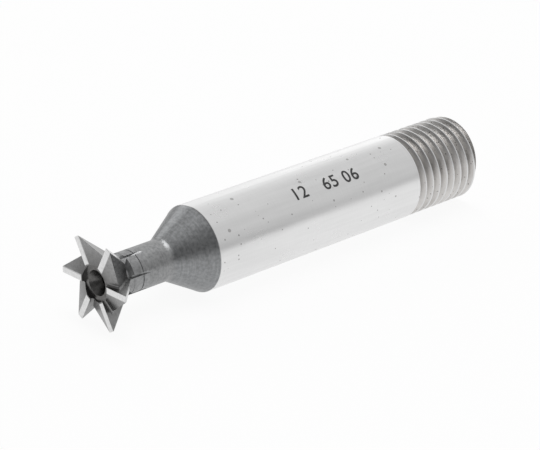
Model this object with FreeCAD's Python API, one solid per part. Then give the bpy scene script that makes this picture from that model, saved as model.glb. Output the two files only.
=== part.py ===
import FreeCAD, Part
import math
import os

# A dovetail milling cutter in one piece: a six-tooth head that is widest at its
# end face, a thin neck, a cone, a ground round shank and a screwed rear end.
# Millimetres and degrees. Stations run along +X from the cutting end's plane.

# Cutting head
CUTTING_DIAMETER = 13.0
DOVETAIL_ANGLE = 45.0
TOOTH_COUNT = 6
FIRST_TOOTH_ANGLE = -1.6
RAKE_OFFSET = 0.38
LAND_WIDTH = 0.76
TIP_FLAT = 0.12
END_CLEARANCE_ANGLE = 17.5
FLANK_CLEARANCE_ANGLE = 38.2
GASH_ROOT_RADIUS = 0.35
GASH_CORE_RADIUS = 2.3
FLUTE_END = 4.45
FLUTE_END_RADIUS = 0.5

# Front recess and its centre hole
RECESS_RADIUS = 2.47
RECESS_DEPTH = 0.52
CENTRE_MOUTH_RADIUS = 1.75
CENTRE_PILOT_RADIUS = 0.9
CENTRE_PILOT_DEPTH = 4.2
CENTRE_HOLE_ANGLE = 60.0
DRILL_POINT_ANGLE = 118.0

# Neck and cone
NECK_DIAMETER = 5.7
NECK_ROOT_RADIUS = 0.35
NECK_RING_STATION = 5.85
NECK_RING_WIDTH = 0.14
NECK_RING_DEPTH = 0.08
CONE_START = 10.9
CONE_END = 16.3
CONE_FOOT_RADIUS = 1.2
SLIT_START = 3.6
SLIT_FLOOR_END = 5.6
SLIT_END = 7.4
SLIT_WIDTH = 0.34
SLIT_DEPTH = 0.3

# Shank
SHANK_DIAMETER = 12.0
SHANK_EDGE_BREAK = 0.08

# Screwed end
OVERALL_LENGTH = 64.6
SCREWED_LENGTH = 11.8
THREAD_PITCH = 1.38
THREAD_DEPTH = 0.8
THREAD_CREST_DIAMETER = 11.96
THREAD_CREST_FLAT = 0.16
THREAD_ROOT_FLAT = 0.16
THREAD_CUTTER_OVERRUN = 0.05
THREAD_START_ANGLE = 124.6
THREAD_END_CHAMFER = 0.28
THREAD_RELIEF_WIDTH = 0.6
THREAD_RELIEF_DEPTH = 0.87
REAR_CENTRE_MOUTH_RADIUS = 2.4
REAR_CENTRE_PILOT_RADIUS = 1.0
REAR_CENTRE_PILOT_DEPTH = 5.5

# Sizes that follow from the ones above
TIP_RADIUS = CUTTING_DIAMETER / 2
NECK_RADIUS = NECK_DIAMETER / 2
SHANK_RADIUS = SHANK_DIAMETER / 2
CREST_RADIUS = THREAD_CREST_DIAMETER / 2
FLANK_SLOPE = math.tan(math.radians(DOVETAIL_ANGLE))
HEAD_END = TIP_FLAT + (TIP_RADIUS - NECK_RADIUS) * FLANK_SLOPE
SHANK_END = OVERALL_LENGTH - SCREWED_LENGTH
SHANK_MIDDLE = (CONE_END + SHANK_END) / 2
TOOTH_STEP = 360.0 / TOOTH_COUNT
LAND_BACK = LAND_WIDTH - RAKE_OFFSET
REACH = 2 * TIP_RADIUS

AXIS_START = FreeCAD.Vector(0, 0, 0)
AXIS_DIRECTION = FreeCAD.Vector(1, 0, 0)


def face_from(points):
    vectors = [FreeCAD.Vector(*point) for point in points]
    return Part.Face(Part.makePolygon(vectors + vectors[:1]))


def turned(profile):
    """A solid turned from (station, radius) points."""
    face = face_from([(station, 0, radius) for station, radius in profile])
    return face.revolve(AXIS_START, AXIS_DIRECTION, 360)


def about_axis(shape, angle):
    turned_copy = shape.copy()
    turned_copy.rotate(AXIS_START, AXIS_DIRECTION, angle)
    return turned_copy


def centre_hole(mouth_radius, pilot_radius, pilot_depth):
    """A centre hole that opens at station zero and runs towards +X."""
    cone_depth = (mouth_radius - pilot_radius) / math.tan(math.radians(CENTRE_HOLE_ANGLE / 2))
    point_depth = pilot_radius / math.tan(math.radians(DRILL_POINT_ANGLE / 2))
    lead = 1.0
    lead_radius = mouth_radius + lead * math.tan(math.radians(CENTRE_HOLE_ANGLE / 2))
    return turned([
        (-lead, 0),
        (-lead, lead_radius),
        (cone_depth, pilot_radius),
        (pilot_depth, pilot_radius),
        (pilot_depth + point_depth, 0),
    ])


def rounded_blank():
    """The turned blank before any tooth, slit, thread or hole is cut."""
    blank = turned([
        (0, 0),
        (0, TIP_RADIUS),
        (TIP_FLAT, TIP_RADIUS),
        (HEAD_END, NECK_RADIUS),
        (NECK_RING_STATION, NECK_RADIUS),
        (NECK_RING_STATION, NECK_RADIUS - NECK_RING_DEPTH),
        (NECK_RING_STATION + NECK_RING_WIDTH, NECK_RADIUS - NECK_RING_DEPTH),
        (NECK_RING_STATION + NECK_RING_WIDTH, NECK_RADIUS),
        (CONE_START, NECK_RADIUS),
        (CONE_END - SHANK_EDGE_BREAK, SHANK_RADIUS - SHANK_EDGE_BREAK),
        (CONE_END, SHANK_RADIUS),
        (SHANK_END, SHANK_RADIUS),
        (SHANK_END, CREST_RADIUS - THREAD_RELIEF_DEPTH),
        (SHANK_END + THREAD_RELIEF_WIDTH, CREST_RADIUS - THREAD_RELIEF_DEPTH),
        (SHANK_END + THREAD_RELIEF_WIDTH, CREST_RADIUS),
        (OVERALL_LENGTH - THREAD_END_CHAMFER, CREST_RADIUS),
        (OVERALL_LENGTH, CREST_RADIUS - THREAD_END_CHAMFER),
        (OVERALL_LENGTH, 0),
    ])
    blank = blank.makeFillet(NECK_ROOT_RADIUS, round_edges(blank, HEAD_END))
    return blank.makeFillet(CONE_FOOT_RADIUS, round_edges(blank, CONE_START))


def round_edges(shape, station):
    """Full circles about the axis at one station."""
    found = []
    for edge in shape.Edges:
        box = edge.BoundBox
        level = abs(box.XMin - station) < 1e-4 and abs(box.XMax - station) < 1e-4
        if level and box.YLength > NECK_RADIUS:
            found.append(edge)
    return found


def before_next_rake():
    """Everything behind one tooth, up to the next tooth's rake face."""
    block = Part.makeBox(2 * REACH, REACH, 2 * REACH)
    block.translate(FreeCAD.Vector(-REACH, RAKE_OFFSET, -REACH))
    return about_axis(block, TOOTH_STEP)


def rounded_root(tool, radius):
    """Rounds a gash tool's one sharp edge, which leaves a rounded root in the blank."""
    wall = before_next_rake()
    wedge = tool.common(wall)
    rake_normal = FreeCAD.Vector(0, math.cos(math.radians(TOOTH_STEP)), math.sin(math.radians(TOOTH_STEP)))
    for edge in wedge.Edges:
        on_rake = abs(edge.CenterOfMass.dot(rake_normal) - RAKE_OFFSET) < 1e-4
        if on_rake and touches_back_wall(edge, wedge, rake_normal):
            return wedge.makeFillet(radius, [edge])
    return wedge


def touches_back_wall(edge, wedge, rake_normal):
    """True for the edge between the rake wall and the tool's slanting wall."""
    for face in wedge.ancestorsOfType(edge, Part.Face):
        normal = face.normalAt(0, 0)
        slanting = abs(normal.x) > 0.1 and abs(normal.x) < 0.999
        if slanting and abs(normal.dot(rake_normal)) < 0.99:
            return True
    return False


def end_gash():
    """Cuts the end face behind one tooth's end land, with the land along +Z."""
    run = REACH
    fall = run * math.tan(math.radians(END_CLEARANCE_ANGLE))
    face = face_from([
        (-fall, run - LAND_BACK, -REACH),
        (fall, -run - LAND_BACK, -REACH),
        (-fall, -run - LAND_BACK, -REACH),
    ])
    tool = face.extrude(FreeCAD.Vector(0, 0, 2 * REACH))
    return rounded_root(tool, GASH_ROOT_RADIUS)


def flank_gash():
    """Cuts the flank behind one tooth's flank land, down to the core."""
    flank = math.radians(DOVETAIL_ANGLE)
    outward = FreeCAD.Vector(math.cos(flank), 0, math.sin(flank))
    along = FreeCAD.Vector(math.sin(flank), 0, -math.cos(flank))
    across = FreeCAD.Vector(0, -1, 0)
    edge = FreeCAD.Vector(TIP_FLAT, -LAND_BACK, TIP_RADIUS) - along * REACH
    run = REACH
    fall = run * math.tan(math.radians(FLANK_CLEARANCE_ANGLE))
    corners = [
        edge - across * run + outward * fall,
        edge + across * run - outward * fall,
        edge + across * run + outward * fall,
    ]
    tool = face_from(corners).extrude(along * (3 * REACH))
    wedge = rounded_root(tool, GASH_ROOT_RADIUS)
    return wedge.common(flute_room())


def flute_room():
    """The ring in which a flank gash may cut: outside the core, ahead of the flute's end."""
    ring = turned([
        (-REACH, GASH_CORE_RADIUS),
        (FLUTE_END - FLUTE_END_RADIUS, GASH_CORE_RADIUS),
        (FLUTE_END, GASH_CORE_RADIUS + FLUTE_END_RADIUS),
        (FLUTE_END, REACH),
        (-REACH, REACH),
    ])
    return ring


def rake_slit():
    """The shallow groove that the grinding of one rake face leaves along the neck."""
    depth_line = [
        (SLIT_START, 0, REACH),
        (SLIT_START, 0, NECK_RADIUS - SLIT_DEPTH),
        (SLIT_FLOOR_END, 0, NECK_RADIUS - SLIT_DEPTH),
        (2 * SLIT_END - SLIT_FLOOR_END, 0, NECK_RADIUS + SLIT_DEPTH),
        (2 * SLIT_END - SLIT_FLOOR_END, 0, REACH),
    ]
    slit = face_from(depth_line).extrude(FreeCAD.Vector(0, SLIT_WIDTH, 0))
    slit.translate(FreeCAD.Vector(0, RAKE_OFFSET, 0))
    return slit


def thread_groove():
    """One helical groove that starts in the relief groove and runs out past the rear end."""
    root_radius = CREST_RADIUS - THREAD_DEPTH
    height = OVERALL_LENGTH - SHANK_END + 2 * THREAD_PITCH
    helix = Part.makeLongHelix(THREAD_PITCH, height, root_radius, 0)
    half_root = THREAD_ROOT_FLAT / 2
    half_mouth = (THREAD_PITCH - THREAD_CREST_FLAT) / 2
    spread = (half_mouth - half_root) / THREAD_DEPTH
    half_top = half_mouth + spread * THREAD_CUTTER_OVERRUN
    top_radius = CREST_RADIUS + THREAD_CUTTER_OVERRUN
    profile = Part.makePolygon([
        FreeCAD.Vector(root_radius, 0, -half_root),
        FreeCAD.Vector(top_radius, 0, -half_top),
        FreeCAD.Vector(top_radius, 0, half_top),
        FreeCAD.Vector(root_radius, 0, half_root),
        FreeCAD.Vector(root_radius, 0, -half_root),
    ])
    groove = Part.Wire(helix.Edges).makePipeShell([profile], True, True)
    groove.rotate(AXIS_START, FreeCAD.Vector(0, 1, 0), 90)
    groove.translate(FreeCAD.Vector(SHANK_END - THREAD_PITCH, 0, 0))
    return about_axis(groove, THREAD_START_ANGLE).common(behind_shank())


def behind_shank():
    """All that lies behind the middle of the relief groove."""
    start = SHANK_END + THREAD_RELIEF_WIDTH / 2
    return turned([
        (start, 0),
        (start, REACH),
        (OVERALL_LENGTH + REACH, REACH),
        (OVERALL_LENGTH + REACH, 0),
    ])


def front_recess():
    return turned([
        (-1, 0),
        (-1, RECESS_RADIUS),
        (RECESS_DEPTH, RECESS_RADIUS),
        (RECESS_DEPTH, 0),
    ])


def front_centre():
    hole = centre_hole(CENTRE_MOUTH_RADIUS, CENTRE_PILOT_RADIUS, CENTRE_PILOT_DEPTH)
    hole.translate(FreeCAD.Vector(RECESS_DEPTH, 0, 0))
    return hole


def rear_centre():
    hole = centre_hole(REAR_CENTRE_MOUTH_RADIUS, REAR_CENTRE_PILOT_RADIUS, REAR_CENTRE_PILOT_DEPTH)
    hole.rotate(AXIS_START, FreeCAD.Vector(0, 0, 1), 180)
    hole.translate(FreeCAD.Vector(OVERALL_LENGTH, 0, 0))
    return hole


def around_head(shape):
    return [about_axis(shape, FIRST_TOOTH_ANGLE - 90 + TOOTH_STEP * k) for k in range(TOOTH_COUNT)]


def dovetail_cutter():
    body = rounded_blank()
    body = body.cut(front_recess())
    body = body.cut(front_centre())
    body = body.cut(rear_centre())
    for tool in around_head(end_gash()) + around_head(flank_gash()) + around_head(rake_slit()):
        body = body.cut(tool)
    body = body.cut(thread_groove())
    body = body.removeSplitter()
    body.translate(FreeCAD.Vector(-SHANK_MIDDLE, 0, 0))
    return body.Solids[0]


os.makedirs("parts", exist_ok=True)
cutter = dovetail_cutter()
cutter.exportStep("parts/dovetail_cutter.step")
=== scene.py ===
import math

import bmesh
import bpy
from mathutils import Matrix, Vector


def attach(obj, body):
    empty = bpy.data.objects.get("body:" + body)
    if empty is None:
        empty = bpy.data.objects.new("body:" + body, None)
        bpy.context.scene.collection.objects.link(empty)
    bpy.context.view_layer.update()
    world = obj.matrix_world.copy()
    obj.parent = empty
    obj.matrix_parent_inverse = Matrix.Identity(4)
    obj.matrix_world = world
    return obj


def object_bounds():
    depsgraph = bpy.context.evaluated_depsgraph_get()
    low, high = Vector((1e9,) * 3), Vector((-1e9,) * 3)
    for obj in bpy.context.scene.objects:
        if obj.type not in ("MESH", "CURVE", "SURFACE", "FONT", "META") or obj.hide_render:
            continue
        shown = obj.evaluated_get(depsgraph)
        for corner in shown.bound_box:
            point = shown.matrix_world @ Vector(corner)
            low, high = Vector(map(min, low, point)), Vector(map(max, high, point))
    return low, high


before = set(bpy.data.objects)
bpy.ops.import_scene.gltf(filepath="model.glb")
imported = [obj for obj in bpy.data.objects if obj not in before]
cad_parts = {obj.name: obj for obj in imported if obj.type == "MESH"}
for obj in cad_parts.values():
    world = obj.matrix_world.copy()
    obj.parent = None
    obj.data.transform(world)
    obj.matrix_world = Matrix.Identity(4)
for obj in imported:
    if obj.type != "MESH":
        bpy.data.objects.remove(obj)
low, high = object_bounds()


def grey(level, warmth=0.0):
    """A grey that leans to warm where the warmth is above zero, and to cool below it."""
    return (level * (1 + warmth), level, level * (1 - warmth), 1)


# Sizes in metres. Stations run along the axis from the plane of the cutting end.
FRONT_X = -0.03455
LAND_END = 0.00372
CONE_START = 0.0109
CONE_END = 0.0163
SHANK_END = 0.0528
REAR_END = high.x - FRONT_X
HUB_RADIUS = 0.0025
CREST_RADIUS = 0.00598
SHANK_RADIUS = 0.006
TIP_RADIUS = 0.0065

# Between which distances past an edge, in metres, one look gives way to the next
END_LAND_FADE = (0.00002, 0.00006)
FLANK_LAND_FADE = (0.00004, 0.00009)
HUB_PAINTED_SHADE_FADE = (-0.00015, 0.0)
HUB_LAND_FADE = (0.0001, 0.0002)
NECK_FADE = (0.0, 0.00008)
CONE_FADE = (-0.0004, 0.0004)
SHANK_FADE = (-0.00008, 0.0)
THREAD_FADE = (-0.00008, 0.00002)
CREST_FADE = (-0.00012, -0.00003)
END_FACE_FADE = (-0.00004, -0.00001)

# The darkest and the brightest grey of each zone, and the single greys of its marks and wear
GASH_GREYS = (grey(0.26), grey(0.36))
# Painted shade: very dark greys for the hub at the middle of the cutting end
HUB_PAINTED_SHADE_GREYS = (grey(0.10, 0.02), grey(0.17, 0.02))
# Painted shade: a darker grey on the gash faces beside the hub
BESIDE_HUB_PAINTED_SHADE_GREY = grey(0.12, 0.02)
LAND_GREYS = (grey(0.66), grey(0.78))
NECK_GREYS = (grey(0.23, -0.01), grey(0.37, -0.01))
CONE_GREYS = (grey(0.22, -0.02), grey(0.34, -0.02))
SHANK_GREYS = (grey(0.78), grey(0.81))
STREAK_GREY = grey(0.62)
SHANK_PIT_GREY = grey(0.25, 0.03)
THREAD_GREYS = (grey(0.50, 0.03), grey(0.70, 0.02))
THREAD_PIT_GREY = grey(0.10, 0.04)
CREST_GREY = grey(0.72)
END_FACE_GREYS = (grey(0.50, 0.01), grey(0.62, 0.01))
ETCHED_GREYS = (grey(0.045), grey(0.08))
FLOOR_GREYS = (grey(0.94), grey(0.98))
WHITE = grey(1.0)

# How far the painted shade beside the hub and the streaks on the shank cover what is under them
BESIDE_HUB_PAINTED_SHADE_SHARE = 0.65
STREAK_SHARE = 0.25

# Roughness of each zone, from its smoothest to its roughest spots
HEAD_ROUGHNESS = (0.26, 0.36)
NECK_ROUGHNESS = (0.36, 0.42)
SHANK_ROUGHNESS = (0.27, 0.31)
THREAD_ROUGHNESS = (0.30, 0.42)
ETCHED_ROUGHNESS = 0.7
ETCHED_SPECULAR = 0.2

# Relief of the surface in metres, and the share of it that each texture has in a zone
RELIEF_DEPTH = 0.000004
HEAD_GRAIN_RELIEF = 0.5
NECK_TURNING_RELIEF = 0.2
NECK_GRAIN_RELIEF = 0.6
SHANK_GRAIN_RELIEF = 0.3

# Textures in features per metre; a pair is along the axis and across it
RING_SCALES = (9000, 180)
TURNING_SCALES = (5200, 300)
STREAK_SCALES = (90, 1500)
CLOUD_SCALE = 260.0
GRAIN_SCALE = 2600.0
END_RING_SCALE = 6000.0
ETCHED_GRAIN_SCALE = 9000.0
FLOOR_GRAIN_SCALE = 40.0

# What the turning marks and the grain add to the texture of the neck and cone
WEAVE_TURNING = 0.35
WEAVE_GRAIN = 0.65

# The values of a noise that are spread over a zone's greys or roughness
WIDE_SPAN = (0.3, 0.7)
NARROW_SPAN = (0.35, 0.65)
HIGH_SPAN = (0.35, 0.7)

# Pits: cells per metre, the share of cells without a pit, and how strongly a pit shows
LARGE_PITS = (820.0, 0.80, 0.6)
FINE_PITS = (1700.0, 0.86, 0.8)
THREAD_PITS = (2200.0, 0.45, 0.8)
PIT_REACH = (0.08, 0.22)

# The numerals on the shank: their height, the share of the font's size that this is, their
# spacing, how far the strokes are widened, how far they stand off the steel, and the angle of
# their baseline from the top
MARK_HEIGHT = 0.00183
MARK_SHARE_OF_SIZE = 0.70
MARK_SPACING = 1.1
MARK_BOLDNESS = 0.00003
MARK_LIFT = 0.00001
MARK_BASELINE = math.radians(47)
MARK_CURVE_STEPS = 6
MARK_LONGEST_EDGE = MARK_HEIGHT / 8
MARK_SPLITTING_ROUNDS = 6

# The camera, in the frame of the part; its lens and sensor are in millimetres
CAMERA_PLACE = (-0.19475, -0.2124, 0.1259)
CAMERA_RIGHT = (0.7449, -0.6672, 0.0)
CAMERA_UP = (0.2706, 0.3023, 0.9140)
CAMERA_LENS = 154.05
CAMERA_SENSOR = 36
CAMERA_NEAREST = 0.01
CAMERA_FARTHEST = 20

# The room's light: its level, how that changes with direction, its limits, and a soft window
# that is straight behind the part for the camera
ROOM_LEVEL = -0.14
ROOM_SLOPE = (0.75, -0.15, 0.93)
ROOM_DARKEST = 0.22
ROOM_BRIGHTEST = 0.70
WINDOW_LEVEL = 36.0
WINDOW_TIGHTNESS = 5.0

# The floor: half of its width, and its share of plain white where it is seen
FLOOR_HALF = 1.2
FLOOR_WHITE_SHARE = 0.92

# A mix node's sockets by number, as its numbers and its colours share their sockets' names
MIX_NUMBER_INPUTS = (2, 3)
MIX_NUMBER_OUTPUT = 0
MIX_COLOUR_INPUTS = (6, 7)
MIX_COLOUR_OUTPUT = 2


def turned_to(right, up):
    """The rotation of a thing that looks along its own -Z, from its right and up axes."""
    right = Vector(right).normalized()
    back = right.cross(Vector(up)).normalized()
    return Matrix((right, back.cross(right), back)).transposed().to_4x4()


def add_to_scene(name, data):
    """A new object in the scene, made from its mesh, curve, lamp or camera."""
    made = bpy.data.objects.new(name, data)
    bpy.context.scene.collection.objects.link(made)
    return made


class Graph:
    """Short calls for building a node tree."""

    def __init__(self, tree):
        self.tree = tree
        self.tree.nodes.clear()

    def node(self, kind, inputs=None, **settings):
        made = self.tree.nodes.new(kind)
        for name, value in settings.items():
            setattr(made, name, value)
        for name, value in (inputs or {}).items():
            self.feed(made, name, value)
        return made

    def feed(self, node, name, value):
        """Links a socket into a node's input, or sets the input to a constant."""
        if isinstance(value, bpy.types.NodeSocket):
            self.tree.links.new(value, node.inputs[name])
        else:
            node.inputs[name].default_value = value

    def math(self, operation, *values):
        made = self.node("ShaderNodeMath", operation=operation)
        for index, value in enumerate(values):
            self.feed(made, index, value)
        return made.outputs[0]

    def weighted(self, a, a_share, b, b_share):
        """The sum of two values, each times its own share."""
        return self.math("ADD", self.math("MULTIPLY", a, a_share), self.math("MULTIPLY", b, b_share))

    def ramp(self, value, span, to=(0.0, 1.0)):
        """The value carried over from one span to another, and held at its ends."""
        made = self.node("ShaderNodeMapRange", {
            "Value": value, "From Min": span[0], "From Max": span[1],
            "To Min": to[0], "To Max": to[1],
        })
        return made.outputs["Result"]

    def past(self, value, edge, fade, to=(0.0, 1.0)):
        """A mask of what lies past an edge, with a soft start."""
        return self.ramp(value, (edge + fade[0], edge + fade[1]), to)

    def mix(self, factor, a, b):
        """From colour a to colour b."""
        made = self.node("ShaderNodeMix", data_type="RGBA")
        self.feed(made, "Factor", factor)
        self.feed(made, MIX_COLOUR_INPUTS[0], a)
        self.feed(made, MIX_COLOUR_INPUTS[1], b)
        return made.outputs[MIX_COLOUR_OUTPUT]

    def blend(self, factor, a, b):
        """From number a to number b."""
        made = self.node("ShaderNodeMix", data_type="FLOAT")
        self.feed(made, "Factor", factor)
        self.feed(made, MIX_NUMBER_INPUTS[0], a)
        self.feed(made, MIX_NUMBER_INPUTS[1], b)
        return made.outputs[MIX_NUMBER_OUTPUT]

    def shade(self, value, span, greys):
        """The grey between two greys that a noise's value stands for."""
        return self.mix(self.ramp(value, span), *greys)

    def noise(self, place, scale, detail):
        made = self.node("ShaderNodeTexNoise", {"Vector": place, "Scale": scale, "Detail": detail})
        return made.outputs[0]

    def stretched_noise(self, place, scales, detail):
        """Noise with one scale along the axis and another across it."""
        along, across = scales
        stretched = self.node(
            "ShaderNodeVectorMath", {0: place, 1: (along, across, across)}, operation="MULTIPLY"
        )
        return self.noise(stretched.outputs[0], 1.0, detail)

    def pits(self, place, per_metre, share_bare, strength):
        """A mask of small pits of mixed sizes, one at most in a cell."""
        cells = self.node("ShaderNodeTexVoronoi", {"Vector": place, "Scale": per_metre})
        lot = self.node("ShaderNodeSeparateColor", {"Color": cells.outputs["Color"]})
        reach = self.ramp(lot.outputs["Green"], (0.0, 1.0), PIT_REACH)
        near = self.math("LESS_THAN", cells.outputs["Distance"], reach)
        chosen = self.math("GREATER_THAN", lot.outputs["Red"], share_bare)
        return self.math("MULTIPLY", self.math("MULTIPLY", near, chosen), strength)


def head_colour(graph, station, radius, grain):
    """Lands are ground bright; the gashes behind them stay dull, with painted shade that deepens
    towards the hub and is darkest on it.
    """
    on_end = graph.past(station, 0.0, END_LAND_FADE, to=(1.0, 0.0))
    flank_reach = graph.math("ADD", station, radius)
    on_flank = graph.past(flank_reach, TIP_RADIUS, FLANK_LAND_FADE)
    off_hub = graph.past(radius, HUB_RADIUS, HUB_LAND_FADE)
    on_land = graph.math("MULTIPLY", graph.math("MAXIMUM", on_end, on_flank), off_hub)

    # Painted shade: the gash faces grow darker towards the hub
    painted_hub_shade = graph.ramp(radius, (HUB_RADIUS, 2 * HUB_RADIUS), to=(BESIDE_HUB_PAINTED_SHADE_SHARE, 0.0))
    gashes = graph.mix(painted_hub_shade, graph.shade(grain, HIGH_SPAN, GASH_GREYS), BESIDE_HUB_PAINTED_SHADE_GREY)
    # Painted shade: the hub at the middle of the cutting end is coloured very dark
    hub = graph.shade(grain, HIGH_SPAN, HUB_PAINTED_SHADE_GREYS)
    gashes = graph.mix(graph.past(radius, HUB_RADIUS, HUB_PAINTED_SHADE_FADE), hub, gashes)
    return graph.mix(on_land, gashes, graph.shade(grain, HIGH_SPAN, LAND_GREYS))


def shank_colour(graph, place):
    """Bright ground steel with the wheel's circles, faint streaks along it, and pits."""
    rings = graph.stretched_noise(place, RING_SCALES, detail=3.0)
    streaks = graph.stretched_noise(place, STREAK_SCALES, detail=4.0)
    steel = graph.shade(rings, WIDE_SPAN, SHANK_GREYS)
    steel = graph.mix(graph.ramp(streaks, HIGH_SPAN, to=(0.0, STREAK_SHARE)), steel, STREAK_GREY)
    pitted = graph.math("MAXIMUM", graph.pits(place, *LARGE_PITS), graph.pits(place, *FINE_PITS))
    return graph.mix(pitted, steel, SHANK_PIT_GREY)


def thread_colour(graph, place, radius, cloud):
    """Blotchy, pitted flanks between brighter crests."""
    flanks = graph.shade(cloud, WIDE_SPAN, THREAD_GREYS)
    flanks = graph.mix(graph.pits(place, *THREAD_PITS), flanks, THREAD_PIT_GREY)
    return graph.mix(graph.past(radius, CREST_RADIUS, CREST_FADE), flanks, CREST_GREY)


def end_face_colour(graph, radius):
    """The fine circles that turning leaves on the rear end face."""
    spot = graph.node("ShaderNodeCombineXYZ", {"X": graph.math("MULTIPLY", radius, END_RING_SCALE)})
    rings = graph.noise(spot.outputs[0], scale=1.0, detail=3.0)
    return graph.shade(rings, WIDE_SPAN, END_FACE_GREYS)


def steel_material():
    """Tool steel: a ground shank and head, a turned neck and cone, a darker thread."""
    material = bpy.data.materials.new("tool_steel_look")
    material.use_nodes = True
    graph = Graph(material.node_tree)
    place = graph.node("ShaderNodeTexCoord").outputs["Object"]
    x, y, z = graph.node("ShaderNodeSeparateXYZ", {"Vector": place}).outputs
    station = graph.math("SUBTRACT", x, FRONT_X)
    square = graph.math("ADD", graph.math("MULTIPLY", y, y), graph.math("MULTIPLY", z, z))
    radius = graph.math("SQRT", square)

    on_neck = graph.past(station, LAND_END, NECK_FADE)
    on_cone = graph.past(station, CONE_START, CONE_FADE)
    on_shank = graph.past(station, CONE_END, SHANK_FADE)
    on_thread = graph.past(station, SHANK_END, THREAD_FADE)
    on_end_face = graph.past(station, REAR_END, END_FACE_FADE)

    turning = graph.stretched_noise(place, TURNING_SCALES, detail=4.0)
    cloud = graph.noise(place, CLOUD_SCALE, detail=5.0)
    grain = graph.noise(place, GRAIN_SCALE, detail=4.0)
    weave = graph.weighted(turning, WEAVE_TURNING, grain, WEAVE_GRAIN)

    rear = graph.mix(
        on_end_face, thread_colour(graph, place, radius, cloud), end_face_colour(graph, radius)
    )
    colour = head_colour(graph, station, radius, grain)
    colour = graph.mix(on_neck, colour, graph.shade(weave, NARROW_SPAN, NECK_GREYS))
    colour = graph.mix(on_cone, colour, graph.shade(weave, NARROW_SPAN, CONE_GREYS))
    colour = graph.mix(on_shank, colour, shank_colour(graph, place))
    colour = graph.mix(on_thread, colour, rear)

    rough = graph.ramp(grain, WIDE_SPAN, HEAD_ROUGHNESS)
    rough = graph.blend(on_neck, rough, graph.ramp(grain, WIDE_SPAN, NECK_ROUGHNESS))
    rough = graph.blend(on_shank, rough, graph.ramp(cloud, WIDE_SPAN, SHANK_ROUGHNESS))
    rough = graph.blend(on_thread, rough, graph.ramp(cloud, WIDE_SPAN, THREAD_ROUGHNESS))

    neck_relief = graph.weighted(turning, NECK_TURNING_RELIEF, grain, NECK_GRAIN_RELIEF)
    relief = graph.math("MULTIPLY", grain, HEAD_GRAIN_RELIEF)
    relief = graph.blend(on_neck, relief, neck_relief)
    relief = graph.blend(on_shank, relief, graph.math("MULTIPLY", grain, SHANK_GRAIN_RELIEF))
    relief = graph.blend(on_thread, relief, cloud)
    bump = graph.node("ShaderNodeBump", {
        "Height": relief, "Distance": RELIEF_DEPTH, "Strength": 1.0,
    })

    shader = graph.node("ShaderNodeBsdfPrincipled", {
        "Base Color": colour, "Roughness": rough, "Metallic": 1.0, "Normal": bump.outputs[0],
    })
    graph.node("ShaderNodeOutputMaterial", {"Surface": shader.outputs[0]})
    return material


def etched_material():
    """The dull dark grey that an etched mark has on ground steel."""
    material = bpy.data.materials.new("etched_mark")
    material.use_nodes = True
    graph = Graph(material.node_tree)
    place = graph.node("ShaderNodeTexCoord").outputs["Object"]
    grain = graph.noise(place, ETCHED_GRAIN_SCALE, detail=4.0)
    shader = graph.node("ShaderNodeBsdfPrincipled", {
        "Base Color": graph.shade(grain, NARROW_SPAN, ETCHED_GREYS),
        "Roughness": ETCHED_ROUGHNESS, "Specular IOR Level": ETCHED_SPECULAR,
    })
    graph.node("ShaderNodeOutputMaterial", {"Surface": shader.outputs[0]})
    return material


def floor_material():
    """Pale floor. Seen directly or in metal it is mostly plain white, so its shadow stays light."""
    material = bpy.data.materials.new("pale_floor")
    material.use_nodes = True
    graph = Graph(material.node_tree)
    place = graph.node("ShaderNodeTexCoord").outputs["Object"]
    colour = graph.mix(graph.noise(place, FLOOR_GRAIN_SCALE, detail=2.0), *FLOOR_GREYS)
    diffuse = graph.node("ShaderNodeBsdfDiffuse", {"Color": colour})
    white = graph.node("ShaderNodeEmission", {"Color": WHITE, "Strength": 1.0})
    path = graph.node("ShaderNodeLightPath").outputs
    seen = graph.math("MAXIMUM", path["Is Camera Ray"], path["Is Glossy Ray"])
    share = graph.math("MULTIPLY", seen, FLOOR_WHITE_SHARE)
    mixed = graph.node("ShaderNodeMixShader", {
        0: share, 1: diffuse.outputs[0], 2: white.outputs[0],
    })
    graph.node("ShaderNodeOutputMaterial", {"Surface": mixed.outputs[0]})
    return material


def split_long_edges(mesh):
    """Cuts a flat mesh finely enough to wrap smoothly round the shank."""
    work = bmesh.new()
    work.from_mesh(mesh)
    bmesh.ops.triangulate(work, faces=work.faces)
    for _ in range(MARK_SPLITTING_ROUNDS):
        long_edges = [edge for edge in work.edges if edge.calc_length() > MARK_LONGEST_EDGE]
        if not long_edges:
            break
        bmesh.ops.subdivide_edges(work, edges=long_edges, cuts=1)
        bmesh.ops.triangulate(work, faces=work.faces)
    work.to_mesh(mesh)
    work.free()


def flat_numerals(numerals, name):
    """The mesh of some numerals, flat and with their baseline along X."""
    curve = bpy.data.curves.new(name, "FONT")
    curve.body = numerals
    curve.size = MARK_HEIGHT / MARK_SHARE_OF_SIZE
    curve.resolution_u = MARK_CURVE_STEPS
    curve.space_character = MARK_SPACING
    curve.bevel_depth = MARK_BOLDNESS
    curve.bevel_resolution = 0
    curve.fill_mode = "FRONT"
    text = add_to_scene(name, curve)
    bpy.context.view_layer.update()
    evaluated = text.evaluated_get(bpy.context.evaluated_depsgraph_get())
    mesh = bpy.data.meshes.new_from_object(evaluated)
    bpy.data.objects.remove(text)
    return mesh


def add_mark(name, numerals, start, material):
    """Numerals wrapped round the shank. They read towards the screwed end, tops up."""
    mesh = flat_numerals(numerals, name)
    split_long_edges(mesh)
    for vertex in mesh.vertices:
        along, across = vertex.co.x, vertex.co.y
        angle = MARK_BASELINE - across / SHANK_RADIUS
        side = -math.sin(angle) * (SHANK_RADIUS + MARK_LIFT)
        up = math.cos(angle) * (SHANK_RADIUS + MARK_LIFT)
        vertex.co = (FRONT_X + start + along, side, up)
    mesh.materials.append(material)
    mark = add_to_scene(name, mesh)
    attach(mark, "root")


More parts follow.
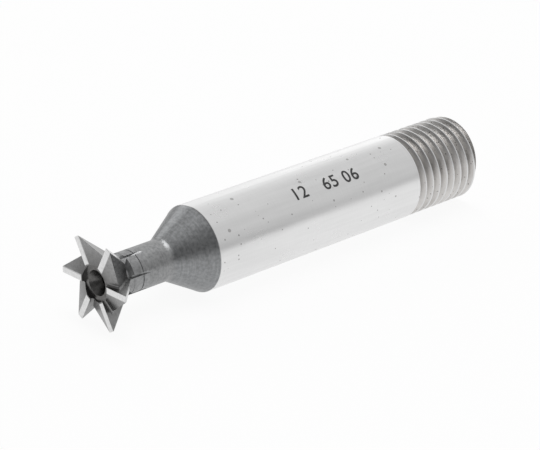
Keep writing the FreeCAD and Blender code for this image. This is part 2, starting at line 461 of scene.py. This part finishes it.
def add_floor():
    """A flat square under the part, at the height that the part lies on."""
    corners = [
        (-FLOOR_HALF, -FLOOR_HALF, low.z),
        (FLOOR_HALF, -FLOOR_HALF, low.z),
        (FLOOR_HALF, FLOOR_HALF, low.z),
        (-FLOOR_HALF, FLOOR_HALF, low.z),
    ]
    mesh = bpy.data.meshes.new("floor")
    mesh.from_pydata(corners, [], [(0, 1, 2, 3)])
    mesh.materials.append(floor_material())
    floor = add_to_scene("floor", mesh)


def add_camera():
    data = bpy.data.cameras.new("camera")
    data.sensor_width = CAMERA_SENSOR
    data.lens = CAMERA_LENS
    data.clip_start = CAMERA_NEAREST
    data.clip_end = CAMERA_FARTHEST
    camera = add_to_scene("camera", data)
    camera.matrix_world = Matrix.Translation(CAMERA_PLACE) @ turned_to(CAMERA_RIGHT, CAMERA_UP)
    bpy.context.scene.camera = camera


def add_lamp(name, place, size, power):
    """A soft panel that faces the part, its width along the part's own length."""
    data = bpy.data.lights.new(name, "AREA")
    data.shape = "RECTANGLE"
    data.size, data.size_y = size
    data.energy = power
    lamp = add_to_scene(name, data)
    up = Vector(place).cross(Vector((1, 0, 0)))
    right = up.cross(Vector(place))
    lamp.matrix_world = Matrix.Translation(place) @ turned_to(right, up)


def add_world():
    """A soft room, brighter above, behind and to the camera's right, and white when seen directly."""
    world = bpy.data.worlds.new("studio")
    bpy.context.scene.world = world
    world.use_nodes = True
    graph = Graph(world.node_tree)
    direction = graph.node("ShaderNodeTexCoord").outputs["Generated"]
    slope = graph.node(
        "ShaderNodeVectorMath", {0: direction, 1: ROOM_SLOPE}, operation="DOT_PRODUCT"
    )
    level = graph.math("ADD", slope.outputs["Value"], ROOM_LEVEL)
    level = graph.math("MINIMUM", graph.math("MAXIMUM", level, ROOM_DARKEST), ROOM_BRIGHTEST)

    # The window is brightest midway between +X and +Y
    x, y, _ = graph.node("ShaderNodeSeparateXYZ", {"Vector": direction}).outputs
    towards_x = graph.math("MAXIMUM", x, 0.0)
    towards_y = graph.math("MAXIMUM", y, 0.0)
    window = graph.math("POWER", graph.math("MULTIPLY", towards_x, towards_y), WINDOW_TIGHTNESS)
    level = graph.math("MULTIPLY_ADD", window, WINDOW_LEVEL, level)

    to_camera = graph.node("ShaderNodeLightPath").outputs["Is Camera Ray"]
    room = graph.node("ShaderNodeBackground", {"Color": level, "Strength": 1.0})
    white = graph.node("ShaderNodeBackground", {"Color": WHITE, "Strength": 1.0})
    mixed = graph.node("ShaderNodeMixShader", {
        0: to_camera, 1: room.outputs[0], 2: white.outputs[0],
    })
    graph.node("ShaderNodeOutputWorld", {"Surface": mixed.outputs[0]})


bpy.context.scene.view_settings.view_transform = "Standard"
add_camera()
add_world()
add_floor()
add_lamp("top_light", place=(0.12, 0.10, 0.98), size=(0.25, 0.9), power=3.5)
add_lamp("back_light", place=(-0.10, 1.00, 0.50), size=(0.9, 0.5), power=2.0)

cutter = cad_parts["dovetail_cutter"]
cutter.data.materials.clear()
cutter.data.materials.append(steel_material())
etched = etched_material()
add_mark("size_mark_left", "12", start=0.0306, material=etched)
add_mark("size_mark_right", "65 06", start=0.0362, material=etched)
